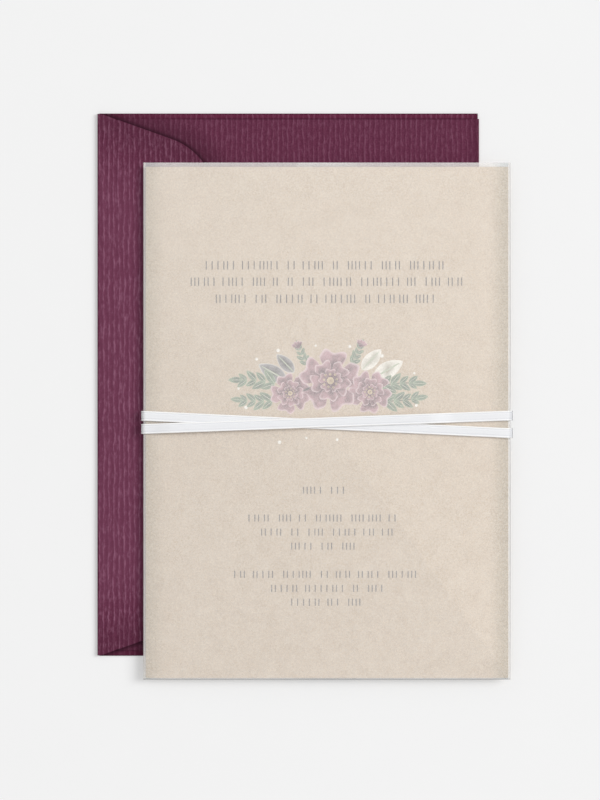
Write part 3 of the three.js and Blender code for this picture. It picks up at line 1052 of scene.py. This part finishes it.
def buildBlossoms():
    petal = washShape("petal", petalOutline, (0.12, 0))
    small = washShape("pollenDot", discOutline, (0, 0), 16, 1)
    petals, hearts = [], []
    form, spacing = blossomForm, 360 / blossomForm["petals"]
    for x, y, radius, turn in blossoms:
        for i in range(form["petals"]):
            place(petal, petals, x, y, 3 + i % 3, radius, turn + spacing * i)
        for i in range(form["petals"]):
            place(petal, petals, x, y, 6 + i % 2, form["middleSize"] * radius,
                  turn + spacing / 2 + spacing * i)
            place(petal, petals, x, y, 8, form["innerSize"] * radius,
                  turn + form["innerTurn"] + spacing * i)
        place(small, hearts, x, y, 9, form["heartSize"] * radius, 0)
        for i in range(form["pollenCount"]):
            angle = math.radians(turn + 360 / form["pollenCount"] * i)
            reach = (form["pollenReach"] + form["pollenStagger"] * (i % 2)) * radius
            place(small, hearts, x + reach * math.cos(angle), y + reach * math.sin(angle), 9,
                  form["pollenSize"] * radius, 0)
    for x, y, radius, turn in buds:
        for k, spread in enumerate((-24, 24, 0)):
            place(petal, petals, x, y, 3 + k, radius, turn + spread, 0.8)
    finishPrint("blossoms", petals, buildInkMaterial(
        "mauveWash", ink["petalDeep"], ink["petalPale"], 0.3, 1.1, ink["petalRim"]))
    finishPrint("pollen", hearts, buildInkMaterial(
        "ochreWash", tone(120, 88, 60), tone(222, 200, 160), 0.0, 0.9))
    for master in (petal, small):
        bpy.data.objects.remove(master)


def placeLeaf(masters, leaves, veins, x, y, layer, size, turn, stretch=1.1):
    # a leaf and the vein on it, both from their masters
    place(masters[0], leaves, x, y, layer, size, turn, stretch)
    place(masters[1], veins, x, y, 2.2 + 0.1 * layer, 0.9 * size, turn)


sprigForm = {
    "stemWidth": 0.26 * mm,
    "stemSteps": 10,
    "leafSteps": (3, 5, 7, 9),
    "leafTurn": 38,
    "leafSize": 0.42,  # share of the sprig's length, less at each step
    "leafTaper": 0.018,
    "pairSize": 0.86,  # the opposite leaf, against the first one
    "pairTurn": 0.9,
    "endSize": 0.3,
}


def buildSprigs():
    form, steps = sprigForm, sprigForm["stemSteps"]
    masters = (washShape("leaf", leafOutline, (0.45, 0)),
               washShape("vein", veinOutline, (0.5, 0), 16, 0))
    leaves, stems, veins = [], [], []
    for x, y, length, turn, bend in sprigs:
        bpy.ops.mesh.primitive_plane_add(size=1, location=(0, 0, 0))
        stem = nameActive("stem")
        stem.scale = (0.02 * mm, form["stemWidth"], 1)
        settle(stem)
        edit(stem)
        selectVerts(stem, lambda co: co.x > 0)
        path, spot = [(0, 0, 0)], Vector((x, y, 0))
        for i in range(1, steps + 1):
            heading = math.radians(turn + bend * i / steps)
            step = Vector((math.cos(heading), math.sin(heading), 0)) * length / steps
            spot = spot + step
            path.append(tuple((spot - Vector((x, y, 0))) * mm))
            if i in form["leafSteps"]:
                side = form["leafTurn"] if i % 4 == 1 else -form["leafTurn"]
                scale = length * (form["leafSize"] - form["leafTaper"] * i)
                placeLeaf(masters, leaves, veins, spot.x, spot.y, 1, scale,
                          math.degrees(heading) + side)
                placeLeaf(masters, leaves, veins, spot.x, spot.y, 1.5, scale * form["pairSize"],
                          math.degrees(heading) - side * form["pairTurn"])
        placeLeaf(masters, leaves, veins, spot.x, spot.y, 2, form["endSize"] * length,
                  math.degrees(heading))
        extrudeAlong(path)
        leaveEdit()
        addWall(stem, ink["film"], 1)
        stem.location = (x * mm, y * mm, inkZ - ink["sunk"] / 2)
        stem.data.attributes.new("wash", "FLOAT", "POINT")
        stems.append(stem)
    finishPrint("sprigs", leaves + stems, buildInkMaterial(
        "sageWash", ink["leafDeep"], ink["leafPale"], 0.1, 1.1, ink["leafRim"]))
    for name, group, deep, pale in (("creamLeaves", creamLeaves, "creamDeep", "cream"),
                                    ("slateLeaves", slateLeaves, "slateDeep", "slate")):
        blades = []
        for x, y, length, turn in group:
            placeLeaf(masters, blades, veins, x, y, 0, length, turn, 1.2)
        finishPrint(name, blades, buildInkMaterial(
            name + "Wash", ink[deep], ink[pale], 0.1, 0.9, ink["cream"]))
    finishPrint("veins", veins, buildInkMaterial(
        "veinWash", ink["vein"], ink["leafRim"], 0.1, 1.0))
    for master in masters:
        bpy.data.objects.remove(master)


dotSize, dotGrowth = 0.36, 0.09


def buildDots():
    disc = washShape("dot", discOutline)
    pieces = []
    for i, (x, y) in enumerate(dots):
        place(disc, pieces, x, y, 1, dotSize + dotGrowth * (i % 3), 0)
    finishPrint("dots", pieces, buildInkMaterial(
        "whiteInk", ink["white"], tone(246, 242, 232), 0.2, 0.9))
    bpy.data.objects.remove(disc)


rows = [
    # y of the middle, width, height of a stroke
    (35.6, 72.0, 2.5), (30.7, 81.0, 2.5), (25.6, 66.0, 2.5),
    (-31.5, 14.0, 2.1),
    (-39.8, 46.5, 2.1), (-44.0, 39.0, 2.1), (-48.2, 21.0, 2.1),
    (-56.6, 55.0, 2.1), (-60.8, 33.0, 2.1), (-64.9, 21.0, 2.1),
]
stroke = {"thick": 0.34, "gapWide": 1.75, "gapNarrow": 1.1, "wordGap": 1.6}


def buildStrokes():
    bpy.ops.mesh.primitive_plane_add(size=1, location=(0, 0, 0))
    master = nameActive("stroke")
    master.scale = (mm, mm, 1)
    settle(master)
    edit(master, "FACE")
    selectAll()
    bpy.ops.mesh.extrude_region_move(
        TRANSFORM_OT_translate={"value": (0, 0, ink["film"] + ink["sunk"])})
    leaveEdit()
    recalculate(master)
    draw = random.Random(11)
    centreX = (cardLow[0] + cardHigh[0]) / 2
    pieces = []
    for y, width, height in rows:
        x = -width / 2
        left = draw.randint(3, 7)
        while x < width / 2:
            twin = copyOf(master, "stroke")
            twin.location = (centreX + x * mm, y * mm, inkZ - ink["sunk"])
            twin.scale = (stroke["thick"], height, 1)
            pieces.append(twin)
            x += stroke["gapNarrow"] if draw.random() < 0.5 else stroke["gapWide"]
            left -= 1
            if left == 0:
                x += stroke["wordGap"]
                left = draw.randint(2, 8)
    whole = joined("strokes", pieces)
    whole.data.attributes.new("wash", "FLOAT", "POINT")
    finishPrint("strokes", [whole], buildInkMaterial(
        "greyInk", ink["stroke"], tone(168, 156, 146), 0.1, 0.9))
    bpy.data.objects.remove(master)


buildBlossoms()
buildSprigs()
buildDots()
buildStrokes()
print("print built")


# floor, world and lamps

studio = {
    "floor": tone(243, 243, 243),
    "floorFleck": tone(241, 241, 241),
    "floorSize": 6.0,
    "worldLight": 0.56,
    "worldSeen": 0.93,
    "lampPower": 284.0,
    "lampSize": 3.0,
    "lampDistance": 6.0,
    "lampTurn": 17,  # from +X towards +Y
    "lampHeight": 37,
    "floorLift": 0.35,  # share of the floor's tone that no shadow takes away
}


def buildFloor():
    bpy.ops.mesh.primitive_plane_add(size=studio["floorSize"], location=(0, 0, -0.02 * mm))
    floor = nameActive("floor")
    settle(floor)
    material, tree, shader = newMaterial("paleFloor", 0.95, 0.1)
    grain, _ = addGrain(tree, 60, 40, 5)
    colour = mixColour(tree, mapRange(tree, grain["Grain"], 0.3, 0.7, 0, 0.3),
                       studio["floor"], studio["floorFleck"])
    tree.links.new(colour, shader.inputs["Base Color"])
    seen = seenDirectly(tree)
    glow = addNode(tree, "ShaderNodeEmission")
    tree.links.new(colour, glow.inputs["Color"])
    blend = addNode(tree, "ShaderNodeMixShader")
    tree.links.new(mathNode(tree, "MULTIPLY", seen, studio["floorLift"]), blend.inputs[0])
    tree.links.new(shader.outputs[0], blend.inputs[1])
    tree.links.new(glow.outputs[0], blend.inputs[2])
    tree.links.new(blend.outputs[0], tree.nodes["Material Output"].inputs["Surface"])
    floor.data.materials.append(material)


def buildWorld():
    world = bpy.data.worlds.new("studio")
    bpy.context.scene.world = world
    world.use_nodes = True
    tree = world.node_tree
    back = tree.nodes["Background"]
    seen = seenDirectly(tree)
    back.inputs["Color"].default_value = (1, 1, 1, 1)
    tree.links.new(mapRange(tree, seen, 0, 1, studio["worldLight"],
                            studio["worldSeen"]), back.inputs["Strength"])


def buildLamp():
    data = bpy.data.lights.new("window", "AREA")
    data.shape = "SQUARE"
    data.size = studio["lampSize"]
    data.energy = studio["lampPower"]
    lamp = bpy.data.objects.new("window", data)
    bpy.context.collection.objects.link(lamp)
    turn, height = math.radians(studio["lampTurn"]), math.radians(studio["lampHeight"])
    aim = Vector((math.cos(turn) * math.cos(height), math.sin(turn) * math.cos(height),
                  math.sin(height)))
    lamp.location = aim * studio["lampDistance"]
    lamp.rotation_euler = aim.to_track_quat("Z", "Y").to_euler()


buildFloor()
buildWorld()
buildLamp()
bpy.context.scene.view_settings.view_transform = "Standard"
print("studio built")
